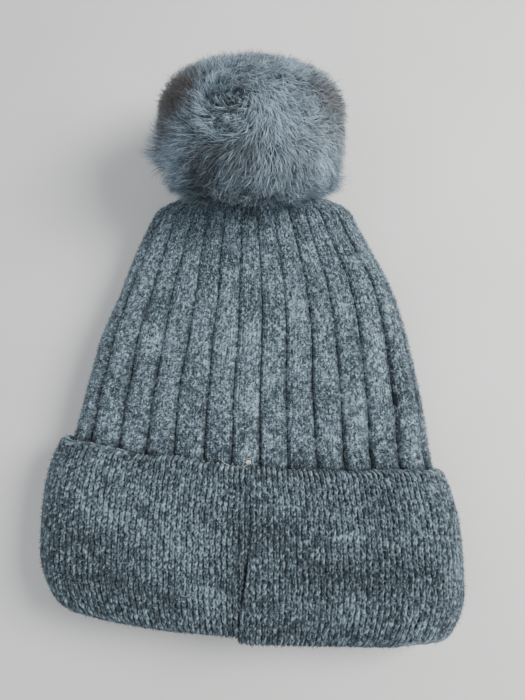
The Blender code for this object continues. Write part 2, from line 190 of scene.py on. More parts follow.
def spine(y):
    """Height and slope of the hat's middle at y."""
    inside_cuff = 1.0 - ease(y, *CUFF_EXIT)
    level = mix(CROWN_LIFT + CROWN_HALF_HEIGHT, BAND_HALF_HEIGHT + CUFF_OFFSET, inside_cuff)
    climb = (TIP_Z - CROWN_LIFT - CROWN_HALF_HEIGHT) / (TIP_Y - RISE_START) ** 2
    past = np.maximum(0.0, y - RISE_START)
    return level + climb * past * past, np.arctan(2.0 * climb * past)


def mouth_corner(height):
    """How far the sides draw in towards the mouth."""
    return MOUTH_ROUND * np.maximum(0.0, 1.0 - height / MOUTH_ROUND_HEIGHT) ** 2


def crown_half_width(y):
    cuff_edge = MOUTH_Y + CUFF_HEIGHT
    inside = mix(CROWN_HALF_WIDTH, BAND_HALF_WIDTH, ease(cuff_edge - y, 0.0, CUFF_HEIGHT))
    inside = inside - mouth_corner(y - MOUTH_Y)
    share = np.maximum(y - cuff_edge, 0.0) / CROWN_TAPER_LENGTH
    outside = CROWN_HALF_WIDTH - CROWN_TAPER * share - CROWN_SHOULDER * share**4
    return np.where(y < cuff_edge, inside, outside)


def crown_half_height(y):
    body = mix(BAND_HALF_HEIGHT, CROWN_HALF_HEIGHT, ease(y, *CUFF_EXIT))
    return mix(body, NECK_HALF_HEIGHT, ease(y, 0.030, TIP_Y - DOME))


def outline(share, half_width, half_height):
    """X and Z round a flattened tube. share runs from 0 at the top centre, by +X, to 1."""
    straight = np.maximum(half_width - half_height, 0.0004)
    arc = math.pi * half_height
    along = np.mod(share, 1.0) * (4.0 * straight + 2.0 * arc)
    marks = np.stack([straight, straight + arc, 3.0 * straight + arc, 3.0 * straight + 2.0 * arc])
    right = (along - marks[0]) / half_height
    left = (along - marks[2]) / half_height
    stretches = [along < marks[0], along < marks[1], along < marks[2], along < marks[3]]
    level = half_height + 0 * along
    bend_right, bend_left = straight + half_height * np.sin(right), -straight - half_height * np.sin(left)
    x = np.select(
        stretches,
        [along, bend_right, 2 * straight + arc - along, bend_left],
        along - 4.0 * straight - 2.0 * arc,
    )
    z = np.select(
        stretches, [level, half_height * np.cos(right), -level, -half_height * np.cos(left)], level
    )
    crown = np.clip(z / half_height, 0.0, 1.0) * TOP_BULGE * (1.0 - (x / half_width) ** 2)
    return x, z + crown


def lay(x, z, y):
    """Puts outline points on the hat at y, and returns X, Y, Z in one array."""
    height, slope = spine(y)
    along = y - z * np.sin(slope) + drift(x, y)
    return np.stack([x, along, height + z * np.cos(slope)], axis=-1)


def surface_normals(points):
    """Unit normals of a grid of points, rows by columns."""
    down = np.gradient(points, axis=0)
    across = np.gradient(points, axis=1)
    return unit_rows(np.cross(across, down))


# ------------------------------------------------------------------ meshes from arrays


def new_piece(name, vertices, faces, sizes, floats=None):
    """An object from flat arrays: vertices, the corners of all faces, and how many each face has."""
    mesh = bpy.data.meshes.new(name)
    mesh.vertices.add(len(vertices))
    mesh.vertices.foreach_set("co", np.ascontiguousarray(vertices, np.float32).ravel())
    mesh.loops.add(len(faces))
    mesh.loops.foreach_set("vertex_index", np.ascontiguousarray(faces, np.int32))
    starts = np.concatenate([[0], np.cumsum(sizes)[:-1]])
    mesh.polygons.add(len(sizes))
    mesh.polygons.foreach_set("loop_start", starts.astype(np.int32))
    mesh.polygons.foreach_set("use_smooth", np.full(len(sizes), True))
    for label, values in (floats or {}).items():
        layer = mesh.attributes.new(label, "FLOAT", "POINT")
        layer.data.foreach_set("value", np.ascontiguousarray(values, np.float32).ravel())
    mesh.update()
    mesh.validate()
    piece = bpy.data.objects.new(name, mesh)
    bpy.context.scene.collection.objects.link(piece)
    return piece


def grid_piece(name, points, floats=None, wrap=False):
    """A sheet of four-sided faces over a grid of points, rows by columns."""
    rows, columns = points.shape[:2]
    index = np.arange(rows * columns).reshape(rows, columns)
    if wrap:
        index = np.concatenate([index, index[:, :1]], axis=1)
    quads = np.stack([index[:-1, :-1], index[:-1, 1:], index[1:, 1:], index[1:, :-1]], axis=-1)
    quads = quads.reshape(-1, 4)
    return new_piece(name, points.reshape(-1, 3), quads.ravel(), np.full(len(quads), 4), floats)


def hair_piece(name, paths, widths, sideways, floats):
    """Tapered ribbons: paths are hairs by points by XYZ, and each ends in one point."""
    count, stops = paths.shape[:2]
    taper = np.linspace(1.0, 0.0, stops) ** 0.6
    half = 0.5 * widths[:, None, None] * taper[None, :-1, None] * sideways[:, None, :]
    left, right = paths[:, :-1] - half, paths[:, :-1] + half
    pairs = np.stack([left, right], axis=2).reshape(count, 2 * (stops - 1), 3)
    vertices = np.concatenate([pairs, paths[:, -1:]], axis=1)
    each = vertices.shape[1]
    corners, sizes = [], []
    for step in range(stops - 2):
        corners += [2 * step, 2 * step + 1, 2 * step + 3, 2 * step + 2]
        sizes.append(4)
    corners += [each - 3, each - 2, each - 1]
    sizes.append(3)
    faces = (np.array(corners)[None, :] + each * np.arange(count)[:, None]).ravel()
    along = np.repeat(np.linspace(0.0, 1.0, stops), 2)[:each]
    point_floats = {"along": np.tile(along, count)}
    for label, values in floats.items():
        point_floats[label] = np.repeat(values, each)
    return new_piece(name, vertices.reshape(-1, 3), faces, np.tile(sizes, count), point_floats)


def tube_piece(name, path, radius, closed=False, sides=6):
    """A round tube along a path of points."""
    path = np.asarray(path, float)
    ahead = np.roll(path, -1, axis=0) - np.roll(path, 1, axis=0)
    if not closed:
        ahead[0], ahead[-1] = path[1] - path[0], path[-1] - path[-2]
    ahead = unit_rows(ahead)
    up = np.array([0.0, 0.0, 1.0]) + 0.31 * ahead[:, [1, 2, 0]]
    side = unit_rows(np.cross(ahead, up))
    top = np.cross(side, ahead)
    angles = np.linspace(0.0, 2.0 * math.pi, sides, endpoint=False)[None, :, None]
    radius = np.broadcast_to(radius, (len(path),))[:, None, None]
    ring = np.cos(angles) * side[:, None, :] + np.sin(angles) * top[:, None, :]
    points = path[:, None, :] + radius * ring
    if closed:
        points = np.concatenate([points, points[:1]])
    piece = grid_piece(name, points[:, ::-1], wrap=True)
    select_only(piece)
    bpy.ops.object.mode_set(mode="EDIT")
    bpy.ops.mesh.select_all(action="SELECT")
    if closed:
        bpy.ops.mesh.remove_doubles(threshold=0.00002)
    else:
        bpy.ops.mesh.fill_holes(sides=sides)
    bpy.ops.mesh.normals_make_consistent(inside=False)
    bpy.ops.object.mode_set(mode="OBJECT")
    return piece


def select_only(piece):
    bpy.ops.object.select_all(action="DESELECT")
    piece.select_set(True)
    bpy.context.view_layer.objects.active = piece


def thicken(piece, thickness):
    """Gives a sheet its thickness, inwards from its face."""
    wall = piece.modifiers.new("thickness", "SOLIDIFY")
    wall.thickness, wall.offset = thickness, -1.0
    select_only(piece)
    bpy.ops.object.modifier_apply(modifier=wall.name)


# ------------------------------------------------------------------ shader writing


class Value:
    """A node socket that Python's operators work on."""

    def __init__(self, book, socket):
        self.book, self.socket = book, socket

    def _maths(self, operation, first, second):
        return self.book.add("ShaderNodeMath", {"operation": operation}, {0: first, 1: second})

    def __add__(self, other):
        return self._maths("ADD", self, other)

    def __radd__(self, other):
        return self._maths("ADD", other, self)

    def __sub__(self, other):
        return self._maths("SUBTRACT", self, other)

    def __rsub__(self, other):
        return self._maths("SUBTRACT", other, self)

    def __mul__(self, other):
        return self._maths("MULTIPLY", self, other)

    def __rmul__(self, other):
        return self._maths("MULTIPLY", other, self)

    def clamped(self):
        return self.book.add("ShaderNodeClamp", {}, {"Value": self})


class Finish:
    """A procedural material under construction."""

    def __init__(self, name, constants):
        self.material = bpy.data.materials.new(name)
        self.material.use_nodes = True
        self.tree = self.material.node_tree
        self.shader = self.tree.nodes["Principled BSDF"]
        for label, value in constants.items():
            self.shader.inputs[label].default_value = value

    def add(self, kind, settings, inputs, output=0):
        """A node of any kind: its settings first, then its sockets' values or links."""
        node = self.tree.nodes.new(kind)
        for label, value in settings.items():
            if label == "stops":
                while len(node.color_ramp.elements) < len(value):
                    node.color_ramp.elements.new(0.5)
                for element, (place, colour) in zip(node.color_ramp.elements, value, strict=True):
                    element.position, element.color = place, (*colour, 1.0)
            else:
                setattr(node, label, value)
        for label, value in inputs.items():
            self.give(node.inputs[label], value)
        return Value(self, node.outputs[output])

    def give(self, socket, value):
        if isinstance(value, Value):
            self.tree.links.new(value.socket, socket)
        else:
            socket.default_value = value

    def set(self, label, value):
        self.give(self.shader.inputs[label], value)

    def place(self):
        return self.add("ShaderNodeTexCoord", {}, {}, "Object")

    def stored(self, label):
        return self.add("ShaderNodeAttribute", {"attribute_name": label}, {}, "Fac")

    def noise(self, scale, detail=3.0, vector=None, roughness=0.6):
        place = vector or self.place()
        inputs = {"Vector": place, "Scale": scale, "Detail": detail, "Roughness": roughness}
        return self.add("ShaderNodeTexNoise", {}, inputs)

    def stretched(self, scale):
        return self.add("ShaderNodeMapping", {}, {"Vector": self.place(), "Scale": scale})

    def ramp(self, value, stops):
        return self.add("ShaderNodeValToRGB", {"stops": stops}, {"Fac": value}, "Color")

    def blend(self, share, first, second):
        """Mixes two colours. A Mix node's colour sockets are its inputs 6 and 7 and its output 2."""
        return self.add("ShaderNodeMix", {"data_type": "RGBA"}, {0: share, 6: first, 7: second}, 2)

    def bump(self, height, depth, strength=1.0):
        inputs = {"Height": height, "Distance": depth, "Strength": strength}
        self.set("Normal", self.add("ShaderNodeBump", {}, inputs, "Normal"))


def rgba(colour):
    return (*colour, 1.0)


def chenille_finish(name, knit, lift, grain):
    """Heathered chenille: stored flecks, with painted shade between stitches, in the grooves and under the
    rim, and a velvety edge.

    lift makes all its colours paler, and grain makes its finest flecks stronger.
    """
    book = Finish(name, {"Roughness": 0.92, "Sheen Weight": 0.35, "Sheen Roughness": 0.45, "IOR": 1.35})
    book.shader.inputs["Sheen Tint"].default_value = (0.75, 0.86, 0.95, 1.0)
    shade, valley = book.stored("shade"), book.stored("valley")
    specks = book.noise(1150.0, 2.0, roughness=0.7)
    fleck = (shade + (specks - 0.5) * grain).clamped()
    dark, middle, light = knit.dark_yarn, knit.middle_yarn, knit.light_yarn
    pale = [min(1.0, 1.9 * c) for c in light]
    stops = [(0.0, dark), (0.44, middle), (0.72, light), (1.0, pale)]
    stops = [(place, [lift * c for c in colour]) for place, colour in stops]
    colour = book.ramp(fleck, stops)
    # Painted shade: the stored painted shade pulls the colour towards half the dark yarn
    shaded_colour = book.blend(valley * 0.92, colour, rgba([0.5 * c for c in dark]))
    book.set("Base Color", shaded_colour)
    book.set("Roughness", 0.82 + 0.16 * specks)
    pile = book.noise(2600.0, 3.0)
    book.bump(pile + 0.6 * specks, 0.00035, 0.9)
    return book.material


def fur_finish(name, pompom):
    """Faux fur: dark at the root, silvery at the tip, with a warm cast where it parts."""
    book = Finish(name, {"Roughness": 0.5, "Sheen Weight": 0.2, "IOR": 1.45})
    along, shade, warm = book.stored("along"), book.stored("shade"), book.stored("warm")
    reach = (along * 0.55 + shade * 0.85 - 0.12).clamped()
    tip = pompom.tip_colour
    pale = [min(1.0, 1.7 * c) for c in tip]
    colour = book.ramp(
        reach, [(0.0, pompom.root_colour), (0.38, [0.26 * c for c in tip]), (0.74, tip), (1.0, pale)]
    )
    colour = book.blend(warm, colour, rgba(pompom.brown))
    book.set("Base Color", colour)
    book.set("Roughness", 0.40 + 0.25 * book.noise(900.0))
    return book.material


def pelt_finish(name, pompom):
    """The pelt that shows between the hairs, mottled and dark."""
    book = Finish(name, {"Roughness": 0.9})
    mottle = book.noise(420.0, 4.0)
    colour = book.ramp(mottle, [(0.3, pompom.root_colour), (0.7, [0.5 * c for c in pompom.tip_colour])])
    book.set("Base Color", colour)
    book.bump(book.noise(1400.0, 3.0), 0.0006)
    return book.material


def fleece_finish(name, low, high):
    """Brushed fibre in clumps, from the colour low to the colour high."""
    book = Finish(name, {"Roughness": 0.95, "Sheen Weight": 0.4, "Sheen Roughness": 0.5})
    clumps = book.noise(320.0, 4.0)
    book.set("Base Color", book.ramp(clumps, [(0.3, low), (0.7, high)]))
    book.set("Roughness", 0.85 + 0.12 * clumps)
    book.bump(clumps + 0.4 * book.noise(1500.0), 0.0008)
    return book.material


def yarn_finish(name, low, high, twist=900.0):
    """Plied thread or tape: fine strands across the run, with a little fluff."""
    book = Finish(name, {"Roughness": 0.8, "Sheen Weight": 0.2})
    inputs = {"Vector": book.place(), "Scale": twist, "Distortion": 2.0}
    strands = book.add("ShaderNodeTexWave", {"bands_direction": "DIAGONAL"}, inputs, "Fac")
    fluff = book.noise(1200.0)
    book.set("Base Color", book.ramp(0.6 * strands + 0.4 * fluff, [(0.2, low), (0.8, high)]))
    book.set("Roughness", 0.7 + 0.2 * fluff)
    book.bump(strands + 0.5 * fluff, 0.0002)
    return book.material


def nickel_finish(name):
    """Nickel plate, brushed along the stud and a little worn."""
    book = Finish(name, {"Metallic": 1.0})
    brush = book.noise(700.0, 4.0, vector=book.stretched((1.0, 1.0, 14.0)))
    wear = book.noise(160.0, 4.0)
    book.set("Base Color", book.ramp(wear, [(0.35, (0.52, 0.50, 0.47)), (0.65, (0.72, 0.71, 0.69))]))
    book.set("Roughness", 0.20 + 0.22 * wear)
    book.bump(brush, 0.00003)
    return book.material


# ------------------------------------------------------------------ knit

# The chenille's fluff across and along a column, and its loose fibres
FLUFF_ACROSS, FLUFF_ALONG, FIBRE_LENGTH = 0.0010, 0.0013, 0.0016


def stitch(wale, course):
    """Height, from 0 to 1, of a plain knit stitch: two leaning legs that meet in a V."""
    across = wale - np.floor(wale) - 0.5
    leg = np.abs(across) * 2.0
    along = course - 0.85 * leg
    phase = along - np.floor(along)
    round_leg = np.sqrt(np.maximum(0.0, 1.0 - (2.0 * phase - 1.0) ** 2))
    plump = np.sqrt(np.maximum(0.0, 1.0 - (2.0 * np.abs(leg - 0.52)) ** 2.4))
    return round_leg**0.8 * plump, np.floor(along), np.sign(across)


def heather(wale, course, row, side, seed):
    """Shade of the yarn from 0 to 1: flecks a stitch long, finer specks, and a slow drift."""
    leg = 0.20 * (scatter(np.floor(wale) * 2 + (side > 0), row, seed) - 0.5)
    fleck = wave(wale * 2.3, course * 1.5, seed + 1, 0.50)
    speck = wave(wale * 5.1, course * 4.3, seed + 2, 0.70)
    patch = wave(wale / 6.0, course / 6.0, seed + 3, 0.30)
    return 0.5 + leg + fleck + speck + patch


def crown_stations(step):
    """Places along y: even on the tube, closer on the dome."""
    start, end = MOUTH_Y + CUFF_HEIGHT - UNDER_CUFF, TIP_Y - DOME
    tube = np.linspace(start, end, int((end - start) / step), endpoint=False)
    turn = np.linspace(0.0, 0.5 * math.pi, int(1.5 * DOME / step) + 2)
    return np.concatenate([tube, end + DOME * np.sin(turn)])


def crown_shape(share, y):
    """The crown's smooth outside at each share of the way round and y."""
    into = np.clip((y - (TIP_Y - DOME)) / DOME, 0.0, 1.0)
    dome = np.sqrt(1.0 - into * into)
    wide = mix(GATHER_RADIUS + 0.0004, crown_half_width(y), dome)
    wobble = wave(y / 0.034 + 40.0, np.round(share * 2.0) + 3.0, 21, 0.0030)
    wobble = wobble * ease(y, MOUTH_Y + 0.08, MOUTH_Y + 0.11)
    tall = np.minimum(mix(GATHER_RADIUS, crown_half_height(y), dome), wide)
    x, z = outline(share, wide + wobble * dome, tall)
    z = z + np.clip(z / tall, 0.0, 1.0) * wave(x / 0.045 + 9.0, y / 0.060 + 5.0, 23, 0.0026) * dome
    lean = 0.0022 * np.exp(-(((y - 0.020) / 0.050) ** 2)) * dome
    return lay(x + lean, z, y)


def knit_crown_patch(name, low, high, step, knit):
    """One sector of the ribbed crown, from share low to share high of the way round from its first groove."""
    low, high = low + RIB_TURN, high + RIB_TURN
    y = crown_stations(step)
    columns = int(ROUND_CROWN * (high - low) / step) + 1
    share, y = np.meshgrid(np.linspace(low, high, columns), y)
    base = crown_shape(share, y)
    normal = surface_normals(base)
    # Ribs that sway a little, and inside goes from 0 to 1 across each
    ribs = (share - RIB_TURN) * knit.ribs
    sway = wave(y / 0.030, np.round(ribs) * 3.0 + 0.5, 31, 0.16)
    sway = sway * np.sin(np.clip((share - low) / (high - low), 0, 1) * math.pi) ** 0.15
    rib = ribs + sway
    inside = rib - np.floor(rib)
    edge = np.minimum(inside, 1.0 - inside) + wave(rib * 9.0, y / 0.0024, 37, 0.075)
    body = np.sqrt(np.maximum(0.0, 1.0 - (1.0 - np.clip(edge / 0.42, 0.0, 1.0)) ** 2.4))
    narrow = crown_half_width(y) / CROWN_HALF_WIDTH * mix(0.55, 1.0, np.clip((TIP_Y - y) / DOME, 0.0, 1.0))
    swell = 0.80 + 0.4 * noise(np.floor(rib) * 5.0 + 0.5, y / 0.05, 33)
    # Stitches, with the loose fluff of the chenille
    wale = inside * knit.rib_wales + np.floor(rib) * 17.0
    course = y / knit.course + 0.30 * noise(rib * 2.0, y / 0.02, 35)
    loop, row, side = stitch(wale, course)
    column = np.sin(math.pi * (wale - np.floor(wale))) ** 0.8
    shade = heather(wale, course, row, side, 41)
    fluff = wave(share * ROUND_CROWN / FLUFF_ACROSS, y / FLUFF_ALONG, 43, 1.0)
    relief = 0.55 * loop + 0.35 * column + 0.75 * fluff - 0.3
    height = knit.rib_height * narrow * (body * swell - 0.85)
    height = height + knit.stitch_height * relief * (0.35 + 0.65 * body)
    fade = np.clip((TIP_Y - y) / DOME, 0.0, 1.0) ** 0.5
    points = base + normal * (height * mix(0.5, 1.0, fade))[..., None]
    points[..., 2] = np.maximum(points[..., 2], TABLE_GAP)
    # Painted shade in the hollows: wide grooves at the flanks, faint ones at the middle of the top, between
    # the stitches, and a painted shadow under the rim
    flank = np.clip(np.abs(base[..., 0]) / CROWN_HALF_WIDTH, 0.0, 1.0)
    middle_top = ease(y, 0.0, 0.050) * (1.0 - flank)
    groove = np.clip(1.0 - edge / (0.14 + 0.14 * flank**2), 0.0, 1.0) ** 0.8 * mix(0.45, 1.0, narrow**2)
    groove = groove * mix(0.50, 1.0, noise(np.round(rib) * 7.0 + 0.5, y / 0.03, 39))
    groove = groove * (1.0 - 0.45 * middle_top)
    under_rim = 1.1 * np.exp(-np.abs(y - MOUTH_Y - CUFF_HEIGHT) / 0.0034)
    valley = groove + (0.30 * (1.0 - loop) + 0.20 * (1.0 - column)) * (1.0 - groove) + under_rim
    # Painted highlight on the tops of the loops; the raised fluff is made lighter too
    shade = np.clip(shade + 0.22 * (loop - 0.5) + 0.30 * fluff, 0, 1)
    floats = {"shade": shade, "valley": np.clip(valley, 0, 1)}
    return grid_piece(name, points, floats), points, normal, floats


def cuff_section(step):
    """Height and offset along the cuff's section: inside of the rim, rim, outside, fold, inside."""
    rim, fold = 0.5 * KNIT, 0.5 * (CUFF_OFFSET + KNIT)
    air, under_rim = CUFF_AIR, CUFF_HEIGHT - rim
    stretches = [
        (RIM_INSIDE, lambda s: (under_rim - RIM_INSIDE + s, air + 0 * s)),
        (math.pi * rim, lambda s: (under_rim + rim * np.sin(s / rim), air + rim - rim * np.cos(s / rim))),
        (under_rim - fold, lambda s: (under_rim - s, CUFF_OFFSET + 0 * s)),
        (math.pi * fold, lambda s: (fold - fold * np.sin(s / fold), 0.5 * air + fold * np.cos(s / fold))),
        (BAND_INSIDE, lambda s: (fold + s, -KNIT + 0 * s)),
    ]
    heights, offsets, runs, run = [], [], [], 0.0
    for length, shape in stretches:
        s = np.linspace(0.0, length, max(3, int(length / step)), endpoint=False)
        height, offset = shape(s)
        heights.append(height)
        offsets.append(offset)
        runs.append(run + s)
        run += length
    return np.concatenate(heights), np.concatenate(offsets), np.concatenate(runs)


def seam_x(height):
    """Where the cuff's seam lies across the hat: it slants to the left towards the fold."""
    return mix(SEAM_AT_FOLD, SEAM_AT_RIM, ease(height, 0.0, SEAM_SLANT))


def cuff_shape(share, height, offset):
    """The cuff's smooth surface at each share of the way round, height and offset."""
    y = MOUTH_Y + height
    from_middle = (height - 0.5 * CUFF_HEIGHT) / (0.5 * CUFF_HEIGHT)
    rim_corner = RIM_ROUND * np.maximum(0.0, 1.0 - (CUFF_HEIGHT - height) / RIM_ROUND_HEIGHT) ** 2
    outside = CUFF_HALF_WIDTH - CUFF_BARREL * from_middle**2 - CUFF_OFFSET
    outside = outside - mouth_corner(height) - rim_corner
    blend = np.clip(offset / CUFF_AIR, 0.0, 1.0)
    wide = mix(crown_half_width(y), outside, blend) + offset
    x, z = outline(share, wide, BAND_HALF_HEIGHT + offset)
    top = np.clip(z / BAND_HALF_HEIGHT, 0.0, 1.0)
    outer = np.clip((offset - CUFF_AIR) / (CUFF_OFFSET - CUFF_AIR), 0.0, 1.0)
    waves = wave(x / 0.050 + 3.0, y / 0.045 + 8.0, 51, 0.0024) * outer
    open_seam = (1.0 - ease(height, 0.010, 0.070)) * outer
    across = x - seam_x(height)
    proud = np.exp(-np.maximum(across, 0.0) / 0.014) * (across > 0.0) * 0.0011 * open_seam
    z = z + top * (waves + proud)
    fold_wave = wave(share * 19.0 + 2.0, 0.5 + 0 * share, 53, 0.0034)
    rim_wave = wave(share * 23.0 + 7.0, 0.5 + 0 * share, 55, 0.0032)
    lift = mix(fold_wave, rim_wave, ease(height, 0.0, CUFF_HEIGHT))
    step = 0.0022 * (across < 0.0) * np.exp(np.minimum(across, 0.0) / 0.030)
    step = step * (1.0 - ease(height, 0.0, 0.060)) * top
    return np.stack([x, y + drift(x, y) + lift + step, MIDDLE_Z + z], axis=-1)


def knit_cuff_patch(name, low, high, step, knit):
    """One sector of the turned-up cuff, with its rim, its fold and the band inside the mouth."""
    columns = int(ROUND_CUFF * (high - low) / step) + 1
    height, offset, run = cuff_section(step)
    share, height = np.meshgrid(np.linspace(low, high, columns), height)
    offset, run = (np.broadcast_to(value[:, None], share.shape) for value in (offset, run))
    base = cuff_shape(share, height, offset)
    normal = -surface_normals(base)
    # Stitches in columns that wander a little
    around = share * round(ROUND_CUFF / knit.wale)
    wander = noise(run / 0.0042, around * 0.45, 61) + 0.6 * noise(run / 0.0016, around * 1.3, 62) - 0.8
    wale = around + 0.34 * wander
    course = -run / knit.course + wave(around * 0.7, run / 0.006, 63, 0.30)
    loop, row, side = stitch(wale, course)
    inside = wale - np.floor(wale)
    column = np.sin(math.pi * inside)
    shade = heather(wale, course, row, side, 71)
    fluff = wave(share * ROUND_CUFF / FLUFF_ACROSS, run / FLUFF_ALONG, 73, 1.0)
    # The seam, which opens to a slit above the fold
    across = base[..., 0] - seam_x(height)
    on_top = (base[..., 2] > MIDDLE_Z) & (offset > 0.0)
    width = mix(0.0005, 0.0007, ease(height, 0.0, 0.030))
    slit = np.exp(-((across / width) ** 2)) * on_top
    depth = 0.0007 + SLIT_DEPTH * np.exp(-(((height - SLIT_MIDDLE) / SLIT_REACH) ** 2))
    depth = depth - 0.0007 * ease(height, 0.050, 0.075)
    rim = np.clip(1.0 - np.abs(CUFF_HEIGHT - height) / 0.004, 0.0, 1.0) * (offset > 0.001)
    relief = 1.20 * column + 1.10 * loop + 0.60 * fluff - 1.35
    proud = knit.stitch_height * relief + rim * (0.0012 * column + 0.0010 * wander)
    points = base + normal * (proud - slit * depth)[..., None]
    points[..., 2] = np.maximum(points[..., 2], TABLE_GAP)
    # Painted shade in the slit, between the columns and between the loops, and a painted shadow beside the
    # slit where the right flap stands proud
    gap = slit * np.clip(depth / 0.0024, 0.10, 1.0)
    beside = np.exp(-(((across + 0.0035) / 0.0035) ** 2)) * on_top * (1.0 - ease(height, 0.040, 0.060))
    between = (1.0 - column) * mix(0.25, 1.0, noise(run / 0.0035, np.round(wale) * 0.8, 75))
    valley = np.clip(0.80 * between + 0.72 * (1.0 - loop) + 0.9 * gap + 0.22 * beside, 0, 1)
    # Painted highlight on the tops of the loops; the raised fluff is made lighter too
    floats = {"shade": np.clip(shade + 0.25 * (loop - 0.5) + 0.30 * fluff, 0, 1), "valley": valley}
    # Its columns go the other way round, so that the faces point outwards
    piece = grid_piece(name, points[:, ::-1], {label: value[:, ::-1] for label, value in floats.items()})
    return piece, points, normal, floats


def chenille_pile(name, points, normal, floats, count, seed):
    """Short loose fibres that lie about on a knit surface, some pale and most dark."""
    draw = np.random.default_rng(seed)
    flat, out = points.reshape(-1, 3), normal.reshape(-1, 3)
    chosen = draw.integers(0, len(flat), count)
    roots, up = flat[chosen], out[chosen]
    lean = 0.75 * up + draw.normal(size=(count, 3))
    lean -= up * np.minimum((lean * up).sum(axis=1, keepdims=True) - 0.35, 0.0)
    lean = unit_rows(lean)
    reach = FIBRE_LENGTH * draw.uniform(0.5, 1.3, (count, 1))
    middle = roots + lean * reach * 0.55 + up * 0.0002
    tip = roots + lean * reach + draw.normal(size=(count, 3)) * 0.0003
    paths = np.stack([roots - up * 0.0002, middle, tip], axis=1)
    paths[..., 2] = np.maximum(paths[..., 2], TABLE_GAP)
    sideways = unit_rows(np.cross(lean, up + 0.3 * draw.normal(size=(count, 3))))
    # Pale fibres, partly the yarn's light flecks and partly a painted sheen; each fibre also carries the
    # painted shade of the knit where it roots
    spark = draw.uniform(size=count)
    pale, dull = 0.70 + 0.30 * draw.uniform(size=count), 0.15 + 0.40 * draw.uniform(size=count)
    floats = {"shade": np.where(spark > 0.62, pale, dull), "valley": 0.9 * floats["valley"].ravel()[chosen]}
    return hair_piece(name, paths, draw.uniform(0.00018, 0.00032, count), sideways, floats)


# ------------------------------------------------------------------ operators


def settle(piece, body, slot, material, *nodes):
    """Gives a piece its material and its body, and hides the frame nodes it stands for; slot is not used."""
    piece.data.materials.clear()
    piece.data.materials.append(material)
    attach(piece, body)
    if nodes:
        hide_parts(*nodes)
    return piece


def knit_sectors(knit_patch, sectors, knit, finish, slot, node, seed):
    """Knits one layer of the hat. A sector has a name, its share of the way round, a step and its fibres.

    Each sector is a sheet of its own with loose fibres over it.
    """
    coarse = 1.0
    for number, (name, low, high, step, fibres) in enumerate(sectors):
        piece, points, normal, floats = knit_patch(name, low, high, step * coarse, knit)
        settle(piece, "hat", slot, finish, node)
        pile = chenille_pile(name + "_pile", points, normal, floats, fibres, seed + number)
        settle(pile, "hat", slot, finish, node)


class BEANIE_OT_knit_crown(bpy.types.Operator):
    """Knit the ribbed crown"""

    bl_idname = "beanie.knit_crown"
    bl_label = "Knit Crown"

    def execute(self, context):
        knit = context.scene.beanie_knit
        finish = chenille_finish("crown chenille", knit, 0.98, 1.5)
        sectors = (
            ("crown_knit_right", 0.0, 0.25, 0.00054, 34000),
            ("crown_knit_left", 0.75, 1.0, 0.00054, 34000),
            ("crown_knit_under_right", 0.25, 0.5, 0.00105, 6000),
            ("crown_knit_under_left", 0.5, 0.75, 0.00105, 6000),
        )
        knit_sectors(
            knit_crown_patch, sectors, knit, finish, "crown_knit", "crown_shell", 100
        )
        return {"FINISHED"}


class BEANIE_OT_knit_cuff(bpy.types.Operator):
    """Knit the turned-up cuff"""

    bl_idname = "beanie.knit_cuff"
    bl_label = "Knit Cuff"

    def execute(self, context):
        knit = context.scene.beanie_knit
        # The cuff's chenille is the crown's made darker (lift 0.80), partly a painted shade over the cuff
        finish = chenille_finish("cuff chenille", knit, 0.80, 0.8)
        # The two top sectors meet close to the seam, left of the middle
        sectors = (
            ("cuff_knit_right", -0.012, 0.25, 0.00050, 15000),
            ("cuff_knit_left", 0.75, 0.988, 0.00050, 14000),
            ("cuff_knit_under", 0.25, 0.75, 0.0011, 8000),
        )
        knit_sectors(
            knit_cuff_patch, sectors, knit, finish, "cuff_knit", "turned_cuff", 200
        )
        return {"FINISHED"}


